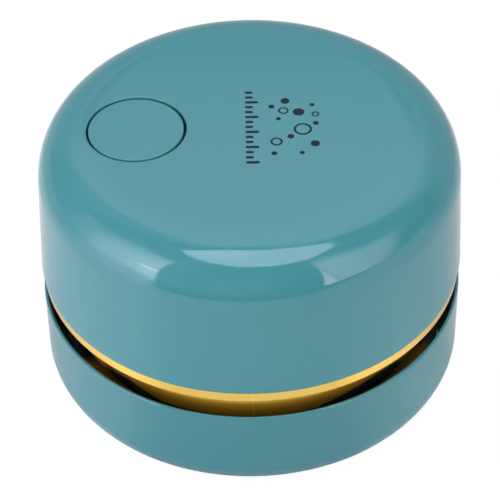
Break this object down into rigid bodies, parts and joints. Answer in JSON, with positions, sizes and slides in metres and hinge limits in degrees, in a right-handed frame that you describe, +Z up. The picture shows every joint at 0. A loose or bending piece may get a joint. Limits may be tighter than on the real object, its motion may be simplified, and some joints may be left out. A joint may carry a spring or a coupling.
{
  "type": "desktop mini vacuum cleaner",
  "caption": "Round palm-sized table vacuum with a glossy domed cap, a flush press button, a gold band over an open exhaust gap and a twist-off dust cup with a brush ring.",
  "frame": {"origin": "on the table, under the middle of the round body", "axes": "+Z up out of the cap, the power button lies towards -X, +Y is away from the viewer"},
  "size_m": [0.085, 0.085, 0.0604],
  "materials": {
    "teal_abs": "glossy moulded ABS, teal",
    "gold_trim": "gold, mirror bright",
    "gold_satin": "satin gold plating over ABS, smoked black at the sides",
    "black_abs": "fine satin moulding, black",
    "grey_pp": "fine satin moulding, dark grey",
    "bristle_nylon": "nylon filament, black",
    "glide_pom": "satin acetal, off-white",
    "filter_white": "satin polypropylene, white",
    "mesh_nylon": "fine woven nylon mesh",
    "foam_grey": "open-cell foam, dark grey",
    "seal_rubber": "soft rubber, black",
    "steel": "zinc-plated steel",
    "nickel": "bright nickel",
    "core_steel": "stacked steel laminations",
    "ferrite": "sintered ferrite",
    "copper": "enamelled copper",
    "bronze": "sintered bronze",
    "carbon": "graphite",
    "motor_white": "satin nylon, white",
    "impeller_white": "smooth moulding, white",
    "battery_sleeve": "shrink sleeve, dark blue and copper",
    "board": "solder mask, green",
    "switch_black": "satin moulding, black",
    "switch_white": "smooth moulding, white",
    "wire_red": "PVC insulation, red",
    "wire_black": "PVC insulation, black",
    "wire_white": "PVC insulation, white"
  },
  "bodies": {
    "dust_cup": {"dust_cup": "teal_abs", "cup_base": "teal_abs", "inlet_collar": "teal_abs", "screw_bosses": "teal_abs", "filter_seat": "teal_abs", "suction_plate": "black_abs", "brush_ring": "grey_pp", "brush_bristles": "bristle_nylon", "glide_feet": "glide_pom", "base_screws": "steel"},
    "filter_unit": {"filter_frame": "filter_white", "filter_mesh": "mesh_nylon", "filter_foam": "foam_grey"},
    "seal": {"seal_ring": "seal_rubber"},
    "motor_unit": {"inner_frame": "black_abs", "frame_skirt": "black_abs", "skirt_posts": "black_abs", "bayonet_ring": "gold_satin", "cover_posts": "black_abs", "gold_trim_ring": "gold_trim", "recess_wall": "gold_satin", "battery_holder": "grey_pp", "holder_screws": "steel", "fan_cover": "grey_pp", "fan_cover_screws": "steel", "motor_can": "steel", "motor_magnets": "ferrite", "motor_end_cap": "motor_white", "motor_terminals": "nickel", "carbon_brushes": "carbon", "motor_bushings": "bronze", "motor_screws": "steel", "battery_cell_left": "battery_sleeve", "battery_cell_right": "battery_sleeve", "battery_link_plate": "nickel", "battery_contact_plates": "nickel", "battery_springs": "nickel", "switch_board": "board", "board_screws": "steel", "push_switch": "switch_black", "switch_spring": "nickel", "lead_wire_red": "wire_red", "lead_wire_black": "wire_black", "lead_wire_motor": "wire_white"},
    "rotor": {"motor_shaft": "steel", "armature_core": "core_steel", "armature_windings": "copper", "commutator": "copper", "impeller": "impeller_white"},
    "cap": {"top_shell": "teal_abs"},
    "button": {"power_button": "teal_abs"},
    "plunger": {"switch_plunger": "switch_white"}
  },
  "joints": [
    {"name": "filter_lift", "type": "slide", "parent": "dust_cup", "child": "filter_unit", "axis": [0, 0, 1], "range_m": [0, 0.03]},
    {"name": "unit_lift", "type": "slide", "parent": "filter_unit", "child": "seal", "axis": [0, 0, 1], "range_m": [0, 0.04]},
    {"name": "twist_lock", "type": "hinge", "parent": "seal", "child": "motor_unit", "pos_m": [0, 0, 0.0186], "axis": [0, 0, 1], "range_deg": [-22, 0]},
    {"name": "rotor_spin", "type": "hinge", "parent": "motor_unit", "child": "rotor", "pos_m": [0, 0, 0.0345], "axis": [0, 0, 1], "continuous": true},
    {"name": "cap_lift", "type": "slide", "parent": "motor_unit", "child": "cap", "axis": [0, 0, 1], "range_m": [0, 0.035]},
    {"name": "button_press", "type": "slide", "parent": "cap", "child": "button", "axis": [0, 0, 1], "range_m": [-0.0015, 0], "stiffness_N_per_m": 900, "springref_m": 0.0005},
    {"name": "plunger_press", "type": "slide", "parent": "motor_unit", "child": "plunger", "axis": [0, 0, 1], "range_m": [-0.0015, 0], "deforming": ["switch_spring"]}
  ],
  "couplings": [
    {"joint": "plunger_press", "follows": "button_press", "ratio": 1}
  ]
}
